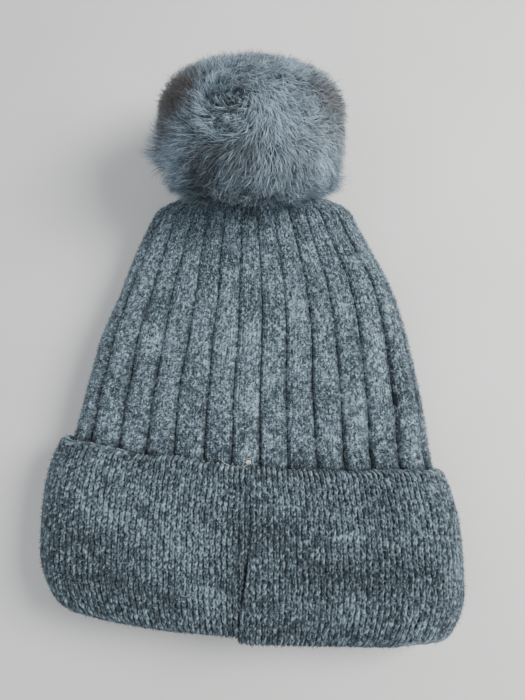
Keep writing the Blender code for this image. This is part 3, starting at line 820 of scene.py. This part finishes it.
class BEANIE_OT_sew_seams(bpy.types.Operator):
    """Sew the seams, the tack and the gathering yarn"""

    bl_idname = "beanie.sew_seams"
    bl_label = "Sew Seams"

    def execute(self, context):
        dark = yarn_finish("seam yarn", (0.010, 0.013, 0.016), (0.060, 0.078, 0.092))
        pale = yarn_finish("tacking thread", (0.80, 0.81, 0.79), (0.93, 0.93, 0.91), 1600.0)
        self.sew_cuff(dark)
        self.sew_crown(dark)
        self.tie_tack(pale)
        for name, node, body, radius, place in (
            ("crown_gather_yarn", "crown_gather_cord", "crown_tip", GATHER_RADIUS - 0.0022, -0.0016),
            ("pompom_gather_yarn", "pompom_gather_cord", "pompom", 0.0107, 0.0112),
        ):
            for ply in range(2):
                yarn = self.gather(f"{name}_{ply + 1}", ply, radius, place)
                settle(yarn, body, "seam_yarn", dark, node)
        return {"FINISHED"}

    def sew_cuff(self, dark):
        """A zigzag just under the cuff's seam."""
        height = np.linspace(0.004, CUFF_HEIGHT - 0.003, 180)
        x = seam_x(height) + 0.0007 * np.sin(np.linspace(0.0, 29.0 * 2.0 * math.pi, len(height)))
        y = MOUTH_Y + height + drift(x, MOUTH_Y + height)
        path = np.stack([x, y, 2.0 * MIDDLE_Z - 0.0022 + 0 * x], axis=1)
        settle(tube_piece("cuff_seam_stitches", path, 0.00055), "hat", "seam_yarn", dark, "cuff_seam_yarn")

    def sew_crown(self, dark):
        """A zigzag up the back of the crown, between the knit and the lining."""
        y = np.linspace(MOUTH_Y + 0.030, 0.050, 300)
        swing = 0.0011 * np.sin(np.linspace(0.0, 50.0 * 2.0 * math.pi, len(y)))
        depth = crown_half_height(y) + TOP_BULGE - KNIT - 0.5 * LINING_GAP
        stitches = tube_piece("crown_seam_stitches", lay(swing, depth, y), 0.00040)
        settle(stitches, "hat", "seam_yarn", dark, "crown_seam_yarn")

    def tie_tack(self, pale):
        """The knot at the rim and its three loose ends."""
        low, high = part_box("cuff_tack_knot")
        middle = (np.array(low) + np.array(high)) / 2.0
        turns = np.linspace(0.0, 3.0 * 2.0 * math.pi, 60)
        knot = middle + 0.0008 * np.stack(
            [1.3 * np.cos(turns), np.sin(turns) * np.cos(turns / 3.0), 0.8 * np.sin(turns / 1.5)], axis=1
        )
        settle(tube_piece("cuff_tack", knot, 0.00055), "hat", "tack_thread", pale, "cuff_tack_knot")
        ends = ((0.012, 2.9, 0.0012), (0.016, 3.25, 0.0028), (0.008, 2.5, 0.0020))
        s = np.linspace(0.0, 1.0, 24)
        for number, (reach, turn, rise) in enumerate(ends):
            angle = turn + 1.3 * np.sin(2.6 * s + number)
            east, north = reach * s * np.cos(angle), 0.35 * reach * s * np.sin(angle)
            path = middle + np.stack([east, north, rise * np.sin(2.4 * s) - 0.0006 * s], axis=1)
            tail = tube_piece(f"tack_thread_tail_{number + 1}", path, 0.00009, sides=5)
            settle(tail, "hat", "tack_thread", pale, "cuff_tack_knot")

    def gather(self, name, ply, radius, place):
        """One of the two plies of a yarn ring round the stud's axis, at a place along it."""
        ply_radius = 0.0004
        turn = np.linspace(0.0, 2.0 * math.pi, 160, endpoint=False)
        twist = 16.0 * turn + math.pi * ply
        out = radius + ply_radius * np.cos(twist)
        local = [out * np.cos(turn), out * np.sin(turn), place + ply_radius * np.sin(twist)]
        return tube_piece(name, to_hat(np.stack(local, axis=1)), ply_radius, closed=True)


def stud_frame():
    """Origin on the gathered top and the three axes of the press stud, as rows X, side and along."""
    slope = float(spine(np.array(TIP_Y))[1])
    along = np.array([0.0, math.cos(slope), math.sin(slope)])
    across = np.array([1.0, 0.0, 0.0])
    return np.array([0.0, TIP_Y, TIP_Z]), across, np.cross(along, across), along


def to_hat(local):
    """From the press stud's own axes to the hat's."""
    origin, across, side, along = stud_frame()
    return origin + local[..., :1] * across + local[..., 1:2] * side + local[..., 2:3] * along


class BEANIE_OT_sew_lining(bpy.types.Operator):
    """Sew the fleece lining, its hem tape and the blank label"""

    bl_idname = "beanie.sew_lining"
    bl_label = "Sew Lining"

    def execute(self, context):
        fleece = fleece_finish("grey fleece", (0.050, 0.058, 0.066), (0.150, 0.168, 0.182))
        tape = yarn_finish("hem tape", (0.030, 0.036, 0.042), (0.085, 0.098, 0.108), 1400.0)
        satin = yarn_finish("satin label", (0.66, 0.66, 0.64), (0.84, 0.84, 0.82), 2200.0)
        dark = yarn_finish("hem stitching", (0.010, 0.012, 0.015), (0.050, 0.060, 0.070))
        self.sew_panel("fleece_back", "lining_back_panel", -0.25, -LINING_SPLIT, fleece)
        self.sew_panel("fleece_front", "lining_front_panel", 0.25, LINING_SPLIT, fleece)
        self.bind_hem(tape, dark)
        self.fold_label(satin)
        return {"FINISHED"}

    def sew_panel(self, name, node, low, split, fleece):
        """Half of the lining, from share low to low + 0.5, clear of the other half by split."""
        y = np.linspace(LINING_START, LINING_END - 0.001, 170)
        share, rows = np.meshgrid(np.linspace(low, low + 0.5, 190), y)
        closing = np.sqrt(1.0 - np.clip((rows - (LINING_END - DOME)) / DOME, 0.0, 1.0) ** 2)
        wide = mix(0.004, crown_half_width(rows) - LINING_INSET, closing)
        tall = np.minimum(mix(0.0035, crown_half_height(rows) - LINING_INSET, closing), wide)
        x, z = outline(share, wide, tall)
        base = lay(x, z - split, rows)
        fluff = wave(share * 260.0, rows / 0.0016, 81, 0.0007) - 0.0001
        panel = grid_piece(name, (base + surface_normals(base) * fluff[..., None])[:, ::-1])
        thicken(panel, 0.0014)
        settle(panel, "hat", "fleece", fleece, node)

    def bind_hem(self, tape, dark):
        """The tape round the lining's edge, and the zigzag that holds it."""
        inset = LINING_INSET + 0.0004
        y = LINING_START - 0.003 + np.linspace(0.0, 0.012, 14)
        share, rows = np.meshgrid(np.linspace(0.0, 1.0, 420, endpoint=False), y)
        x, z = outline(share, crown_half_width(rows) - inset, crown_half_height(rows) - inset)
        weave = 0.00012 * np.sin(share * 2.0 * math.pi * 210)
        band = grid_piece("hem_tape", lay(x, z + weave, rows)[:, ::-1], wrap=True)
        thicken(band, 0.0005)
        settle(band, "hat", "hem_tape", tape, "lining_hem_tape")

        inset = inset + 0.0005
        turn = np.linspace(0.0, 1.0, 1200, endpoint=False)
        y = LINING_START + 0.0030 + 0.0024 * np.sin(turn * 2.0 * math.pi * 96.0)
        x, z = outline(turn, crown_half_width(y) - inset, crown_half_height(y) - inset)
        stitches = tube_piece("hem_zigzag", lay(x, z, y), 0.00028, closed=True, sides=5)
        settle(stitches, "hat", "hem_tape", dark, "lining_hem_tape")

    def fold_label(self, satin):
        """A blank tape, folded once with its two ends in the seam."""
        low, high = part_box("care_label")
        gap, floor = 0.00035, low.z + 0.0001
        fold = np.linspace(-0.5 * math.pi, 0.5 * math.pi, 9)
        bend = high.y - gap + gap * np.cos(fold)
        y = np.concatenate([[low.y, low.y + 0.002], bend, [low.y + 0.0015, low.y]])
        z = np.concatenate([[floor] * 2, floor + gap + gap * np.sin(fold), [floor + 2 * gap] * 2])
        z = z + 0.0010 * np.sin((y - low.y) * 110.0) ** 2
        x, y = np.meshgrid(np.linspace(low.x, high.x, 10), y)
        z = np.broadcast_to(z[:, None], x.shape)
        label = grid_piece("blank_label", np.stack([x, y, z], axis=-1))
        settle(label, "hat", "label_satin", satin, "care_label")


class BEANIE_OT_fit_press_stud(bpy.types.Operator):
    """Finish the press stud and its washers"""

    bl_idname = "beanie.fit_press_stud"
    bl_label = "Fit Press Stud"

    def execute(self, context):
        nickel = nickel_finish("nickel plate")
        felt = fleece_finish("black felt", (0.014, 0.015, 0.017), (0.040, 0.042, 0.046))
        for name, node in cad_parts.items():
            if name.startswith("snap_"):
                use = nickel
            elif name in ("tip_patch", "pompom_base_disc"):
                use = felt
            else:
                continue
            for slot in node.material_slots:
                slot.material = use
        return {"FINISHED"}


def pompom_directions(count, seed):
    """Unit directions on a golden-angle spiral, evenly spread with a little jitter."""
    draw = np.random.default_rng(seed)
    number = np.arange(count) + 0.5
    height = 1.0 - 2.0 * number / count
    turn = number * math.pi * (3.0 - math.sqrt(5.0))
    flat = np.sqrt(1.0 - height * height)
    spread = np.stack([flat * np.cos(turn), flat * np.sin(turn), height], axis=1)
    spread += draw.normal(size=(count, 3)) * 1.2 / math.sqrt(count)
    return unit_rows(spread)


def pelt_point(unit, pompom, inset=0.0):
    """The pelt under each unit direction, in the press stud's axes, and its outward normal."""
    # The lower half is squarer, and swells round the gathered middle of the pompom's base
    low = unit[..., 2] < 0.0
    power = np.where(low, 1.4 * pompom.squareness, pompom.squareness)
    round_it = np.hypot(unit[..., 0], unit[..., 1])
    radius, depth = pompom.pelt_radius - inset, pompom.pelt_depth - inset
    size = ((round_it / radius) ** power + (np.abs(unit[..., 2]) / depth) ** power) ** (-1.0 / power)
    point = unit * size[..., None]
    flat = np.maximum(np.hypot(point[..., 0], point[..., 1]), 1e-9)
    slope = (flat / radius) ** (power - 1.0) / radius
    rise = np.sign(point[..., 2]) * (np.abs(point[..., 2]) / depth) ** (power - 1.0) / depth
    normal = np.stack([slope * point[..., 0] / flat, slope * point[..., 1] / flat, rise], axis=-1)
    normal = unit_rows(normal)
    point[..., 2] *= 1.0 + np.where(low, 0.26, 0.0) * ease(flat / radius, 0.35, 0.80)
    return point + np.array([0.0, 0.0, pompom.centre]), normal


# The fur's whorl on the table plan, and its patches: x, y, radius, gain of pale or of brown. The pale patches
# are partly the fur's own tone and partly painted light: painted highlights, and painted shade round the rim
WHORL = (-0.0098, 0.1085)
TONE_HIGHLIGHT_SHADE_PATCHES = (
    (0.0115, 0.1040, 0.012, 0.22),
    (0.026, 0.142, 0.014, 0.08),
    (0.040, 0.088, 0.009, 0.18),
    (-0.045, 0.100, 0.008, 0.20),
    (-0.0276, 0.0790, 0.008, -0.55),
    (-0.0234, 0.0900, 0.013, -0.28),
    (0.0440, 0.1230, 0.013, -0.40),
    (-0.0360, 0.1260, 0.010, -0.45),
    (0.0040, 0.1520, 0.012, -0.22),
    (-0.0040, 0.0830, 0.015, -0.30),
    (0.0300, 0.0800, 0.010, -0.20),
)
BROWN_PATCHES = (
    (-0.0420, 0.1180, 0.013, 0.75),
    (-0.0450, 0.1330, 0.015, 0.60),
    (0.0460, 0.1240, 0.014, 0.55),
)
# Loose tufts at the rim: where they grow, which way they point, and how long they are
TUFT_RADIUS = 0.0060
TUFTS = (
    ((0.006, 0.168), (1.0, 0.30), 0.018),
    ((0.036, 0.160), (0.9, 0.50), 0.012),
    ((0.055, 0.140), (1.0, 0.15), 0.011),
    ((0.057, 0.118), (1.0, -0.30), 0.010),
    ((-0.052, 0.112), (-1.0, 0.10), 0.012),
    ((-0.050, 0.088), (-0.9, -0.45), 0.011),
    ((-0.028, 0.163), (-0.3, 0.90), 0.010),
    ((0.048, 0.094), (0.8, -0.60), 0.010),
    ((-0.036, 0.080), (-0.4, -0.90), 0.010),
    ((0.026, 0.076), (0.3, -0.95), 0.009),
)


def nearby(place, patches):
    """Sum of soft round patches at places on the table plan."""
    total = np.zeros(len(place))
    for x, y, radius, gain in patches:
        total += gain * np.exp(-((place[:, 0] - x) ** 2 + (place[:, 1] - y) ** 2) / radius**2)
    return total


def fur_lie(place):
    """Which way the fur lies: out from the whorl, round it close by, and down at the sides."""
    away = place[:, :2] - np.array(WHORL)
    reach = np.maximum(np.linalg.norm(away, axis=1, keepdims=True), 1e-6)
    out = away / reach
    round_it = np.stack([out[:, 1], -out[:, 0]], axis=1)
    flat = out * (0.20 + 0.80 * ease(reach, 0.010, 0.036))
    flat = flat + round_it * 1.4 * np.exp(-((reach / 0.032) ** 2))
    turn = wave(place[:, 0] / 0.016 + 7.0, place[:, 1] / 0.016 + place[:, 2] / 0.020, 95, 1.1)[:, None]
    flat = flat * np.cos(turn) + np.stack([-flat[:, 1], flat[:, 0]], axis=1) * np.sin(turn)
    return np.concatenate([flat, np.full((len(place), 1), -0.35)], axis=1)


def comb_fur(pompom, count, seed):
    """Paths of the hairs in the hat's axes, with each hair's face direction and its lock number."""
    draw = np.random.default_rng(seed)
    unit = pompom_directions(count, seed)
    unit = unit[unit[:, 2] > -math.cos(0.30)]
    count = len(unit)
    local, facing = pelt_point(unit, pompom)
    root = to_hat(local)
    out = to_hat(facing) - to_hat(np.zeros(3))
    lock = pompom_directions(5200, seed + 1)
    number = nearest_of(unit, lock)
    lock_root = to_hat(pelt_point(lock, pompom)[0])
    # Each lock has its own length and its own lean
    tall, stray, *lean = (scatter(number, 0 * number + k, seed) for k in range(3, 8))
    tall, stray, lean = tall[:, None], stray[:, None], np.stack(lean, axis=1) - 0.5
    lie = fur_lie(root) + 1.0 * lean + 0.45 * draw.normal(size=(count, 3))
    lie = unit_rows(lie - out * (lie * out).sum(axis=1, keepdims=True))
    # The hairs of a lock lean together, and guard hairs stand above the rest
    gather = lock_root[number] - root
    gather -= out * (gather * out).sum(axis=1, keepdims=True)
    guard = (draw.uniform(size=(count, 1)) > 0.86) * draw.uniform(0.2, 0.8, (count, 1))
    # Under the pompom the fur stands back over the gathered top and spreads outwards
    back = np.clip(-facing[:, 2:], 0.0, 1.0)
    spread = to_hat(unit * np.array([1.0, 1.0, 0.0])) - to_hat(np.zeros(3))
    side_back = ease(-(local[:, 2:] - pompom.centre), 0.004, 0.024) * (1.0 - back)
    stud_way = stud_frame()[3]
    lie = unit_rows(lie + (1.6 * back + 0.4 * side_back) * unit_rows(spread) - 1.5 * side_back * stud_way)
    lie = unit_rows(lie - out * np.maximum((lie * out).sum(axis=1, keepdims=True), -0.1))
    # How far each hair stands up and runs along the pelt, least at the whorl and most in a tuft
    height = pompom.fur_height * (0.45 + 0.50 * tall + 0.25 * draw.uniform(size=(count, 1)) + 0.45 * guard)
    height = height * (1.0 + 0.35 * back)
    run = pompom.fur_lie * (0.65 + 0.35 * stray + 0.35 * draw.uniform(size=(count, 1)) - 0.5 * guard)
    from_whorl = np.linalg.norm(root[:, :2] - np.array(WHORL), axis=1, keepdims=True)
    run = run * np.where(root[:, 2:] > 0.04, mix(0.40, 1.0, ease(from_whorl, 0.0, 0.020)), 1.0)
    for (x, y), (east, north), length in TUFTS:
        near = np.exp(-((root[:, :1] - x) ** 2 + (root[:, 1:2] - y) ** 2) / TUFT_RADIUS**2)
        near = near * (root[:, 2:] > 0.035)
        way = unit_rows(np.array([[east, north, 0.05]]))
        lie = unit_rows(mix(lie, way, np.clip(1.6 * near, 0.0, 0.95)))
        run = run + near * length
        height = height * (1.0 - 0.25 * near)
    # The path of each hair, from its root to its tip
    steps = np.array([0.0, 0.30, 0.64, 1.0])[None, :, None]
    rise = np.sin(0.5 * math.pi * np.minimum(steps * 1.25, 1.0)) - 0.10 * steps**3
    paths = root[:, None] + out[:, None] * height[:, None] * rise
    paths = paths + lie[:, None] * run[:, None] * steps**1.5 + 0.35 * gather[:, None] * steps
    curl = lean[:, :1, None] * 0.008 + 0.0018 * draw.normal(size=(count, 1, 1))
    paths = paths + unit_rows(np.cross(lie, out))[:, None] * curl * steps**2
    return keep_clear(paths, draw), out, number


def nearest_of(points, targets):
    """Index of the nearest target for each point."""
    found = np.zeros(len(points), int)
    for start in range(0, len(points), 4000):
        block = points[start : start + 4000]
        found[start : start + 4000] = np.argmax(block @ targets.T, axis=1)
    return found


def keep_clear(paths, draw):
    """Fur bends away from the table and from the top of the crown."""
    count = len(paths)
    floor = TABLE_GAP + 0.0030 * draw.uniform(size=(count, 1)) * np.linspace(0.2, 1.0, paths.shape[1])
    paths[..., 2] = np.maximum(paths[..., 2], floor)
    x, y = paths[..., 0], paths[..., 1]
    reach = np.minimum(y, TIP_Y - 0.004)
    height, slope = spine(reach)
    over = (np.abs(x) < crown_half_width(reach) - 0.004) & (y < TIP_Y - 0.004)
    over = over & (paths[..., 2] > height - 0.006)
    top = height + crown_half_height(reach) * np.cos(slope) + 0.0030
    lifted = np.maximum(paths[..., 2], top + 0.0025 * draw.uniform(size=(count, 1)))
    paths[..., 2] = np.where(over, lifted, paths[..., 2])
    return paths


class BEANIE_OT_make_pompom(bpy.types.Operator):
    """Make the faux-fur pompom"""

    bl_idname = "beanie.make_pompom"
    bl_label = "Make Pompom"

    def execute(self, context):
        pompom = context.scene.beanie_pompom
        polar = np.linspace(0.001, math.pi - 0.31, 60)
        turn = np.linspace(0.0, 2.0 * math.pi, 96, endpoint=False)
        polar, turn = np.meshgrid(polar, turn, indexing="ij")
        flat = np.sin(polar)
        unit = np.stack([flat * np.cos(turn), flat * np.sin(turn), np.cos(polar)], axis=-1)
        pelt = pelt_finish("fur pelt", pompom)
        filling = fleece_finish("white filling", (0.62, 0.62, 0.60), (0.85, 0.85, 0.83))
        for name, inset, bump, material, slot, node in (
            ("pompom_pelt", 0.0, 0.0012, pelt, "faux_fur", "pompom_fur_cover"),
            ("pompom_stuffing", 0.0030, 0.0016, filling, "filling", "pompom_filling"),
        ):
            point, facing = pelt_point(unit, pompom, inset)
            bumps = wave(turn * 4.0, polar * 5.0, 91, bump)
            points = to_hat(point + facing * bumps[..., None])
            points[..., 2] = np.maximum(points[..., 2], 0.0012 + 0.3 * inset)
            settle(grid_piece(name, points[:, ::-1], wrap=True), "pompom", slot, material, node)

        count = pompom.hairs
        paths, out, number = comb_fur(pompom, count, 300)
        draw = np.random.default_rng(301)
        ahead = paths[:, -1] - paths[:, 0]
        sideways = unit_rows(np.cross(ahead, out + 0.35 * draw.normal(size=out.shape)))
        # Pale in an arc round the whorl's left side, a painted highlight, and by lock, patch and glint, the
        # patches partly painted highlight and shade
        middle = paths[:, 2]
        away = middle[:, :2] - np.array(WHORL)
        reach = np.linalg.norm(away, axis=1)
        arc = np.exp(-(((reach - 0.0165) / 0.0034) ** 2)) * ease(-away[:, 0], -0.006, 0.004)
        inside = np.exp(-((reach / 0.011) ** 2))
        lock_shade = scatter(number, 0 * number + 8, 300) - 0.5
        shade = 0.43 + 0.42 * arc - 0.08 * inside + 0.26 * lock_shade + nearby(middle, TONE_HIGHLIGHT_SHADE_PATCHES)
        glint = (draw.uniform(size=len(paths)) > 0.84) * 0.42
        shade = np.clip(shade + glint + 0.20 * draw.normal(size=len(paths)), 0, 1)
        warm = np.clip(nearby(middle, BROWN_PATCHES) + 0.05 * draw.normal(size=len(paths)), 0.0, 0.85)
        widths = pompom.hair_width * 1.0 * draw.uniform(0.7, 1.15, len(paths))
        finish = fur_finish("smoky fur", pompom)
        part = np.arange(len(paths)) % 2
        for group in range(2):
            own = part == group
            floats = {"shade": shade[own], "warm": warm[own]}
            fur = hair_piece(f"pompom_fur_{group + 1}", paths[own], widths[own], sideways[own], floats)
            settle(fur, "pompom", "faux_fur", finish, "pompom_fur_cover")
        return {"FINISHED"}


# Each light's name, place, size, power and colour
LIGHTS = (
    ("key light", (0.72, 0.14, 0.72), 0.50, 16.0, (1.0, 0.985, 0.96)),
    ("fill light", (-0.55, -0.45, 0.85), 0.90, 4.0, (0.94, 0.97, 1.0)),
    ("back light", (-0.10, 1.00, 0.55), 0.70, 3.0, (0.96, 0.98, 1.0)),
)
LIGHT_AIM = (0.0, 0.0, 0.02)
# The camera looks nearly straight down on the hat, tilted by degrees, with a lens in millimetres
CAMERA_PLACE, CAMERA_TILT, CAMERA_LENS = (0.0065, -0.0696, 0.327), 12.0, 26.60
TABLE_SIZE = 24.0


class BEANIE_OT_set_stage(bpy.types.Operator):
    """Set the table, the lights and the camera"""

    bl_idname = "beanie.set_stage"
    bl_label = "Set Stage"

    def execute(self, context):
        bpy.ops.object.select_all(action="DESELECT")
        bpy.ops.mesh.primitive_plane_add(size=TABLE_SIZE, location=(0.0, 0.0, 0.0))
        table = context.object
        table.name = "beanie_table"
        book = Finish("pale table", {"Roughness": 0.75})
        tone = book.noise(6.0, 2.0)
        book.set("Base Color", book.ramp(tone, [(0.3, (0.70, 0.70, 0.69)), (0.7, (0.76, 0.76, 0.75))]))
        table.data.materials.append(book.material)

        for name, place, size, power, colour in LIGHTS:
            lamp = bpy.data.lights.new(name, "AREA")
            lamp.size, lamp.energy, lamp.color = size, power, colour
            holder = bpy.data.objects.new(name, lamp)
            context.scene.collection.objects.link(holder)
            holder.location = place
            aim = Vector(LIGHT_AIM) - Vector(place)
            holder.rotation_euler = aim.to_track_quat("-Z", "Y").to_euler()
        world = bpy.data.worlds.new("soft room")
        world.use_nodes = True
        background = world.node_tree.nodes["Background"]
        background.inputs["Color"].default_value = (0.86, 0.89, 0.93, 1.0)
        background.inputs["Strength"].default_value = 0.36
        context.scene.world = world

        lens = bpy.data.cameras.new("beanie camera")
        lens.lens, lens.sensor_width, lens.clip_start = CAMERA_LENS, 36.0, 0.01
        camera = bpy.data.objects.new("beanie camera", lens)
        context.scene.collection.objects.link(camera)
        camera.location = CAMERA_PLACE
        camera.rotation_euler = (math.radians(CAMERA_TILT), 0.0, 0.0)
        context.scene.camera = camera
        return {"FINISHED"}


class BEANIE_PT_panel(bpy.types.Panel):
    """Every step of the beanie, in order"""

    bl_label = "Pom Pom Beanie"
    bl_idname = "BEANIE_PT_panel"
    bl_space_type = "VIEW_3D"
    bl_region_type = "UI"
    bl_category = "Beanie"

    def draw(self, context):
        for step in STEPS:
            self.layout.operator(step.bl_idname)
        for group in (context.scene.beanie_knit, context.scene.beanie_pompom):
            box = self.layout.box()
            for label in group.bl_rna.properties.keys():
                if label not in ("rna_type", "name"):
                    box.prop(group, label)


STEPS = (
    BEANIE_OT_set_stage,
    BEANIE_OT_knit_crown,
    BEANIE_OT_knit_cuff,
    BEANIE_OT_sew_seams,
    BEANIE_OT_sew_lining,
    BEANIE_OT_fit_press_stud,
    BEANIE_OT_make_pompom,
)
CLASSES = (HatKnit, HatPompom, *STEPS, BEANIE_PT_panel)


def register():
    for thing in CLASSES:
        bpy.utils.register_class(thing)
    bpy.types.Scene.beanie_knit = PointerProperty(type=HatKnit)
    bpy.types.Scene.beanie_pompom = PointerProperty(type=HatPompom)


def unregister():
    del bpy.types.Scene.beanie_pompom
    del bpy.types.Scene.beanie_knit
    for thing in reversed(CLASSES):
        bpy.utils.unregister_class(thing)


def main():
    register()
    bpy.ops.beanie.set_stage()
    bpy.ops.beanie.knit_crown()
    bpy.ops.beanie.knit_cuff()
    bpy.ops.beanie.sew_seams()
    bpy.ops.beanie.sew_lining()
    bpy.ops.beanie.fit_press_stud()
    bpy.ops.beanie.make_pompom()


if __name__ == "__main__":
    main()
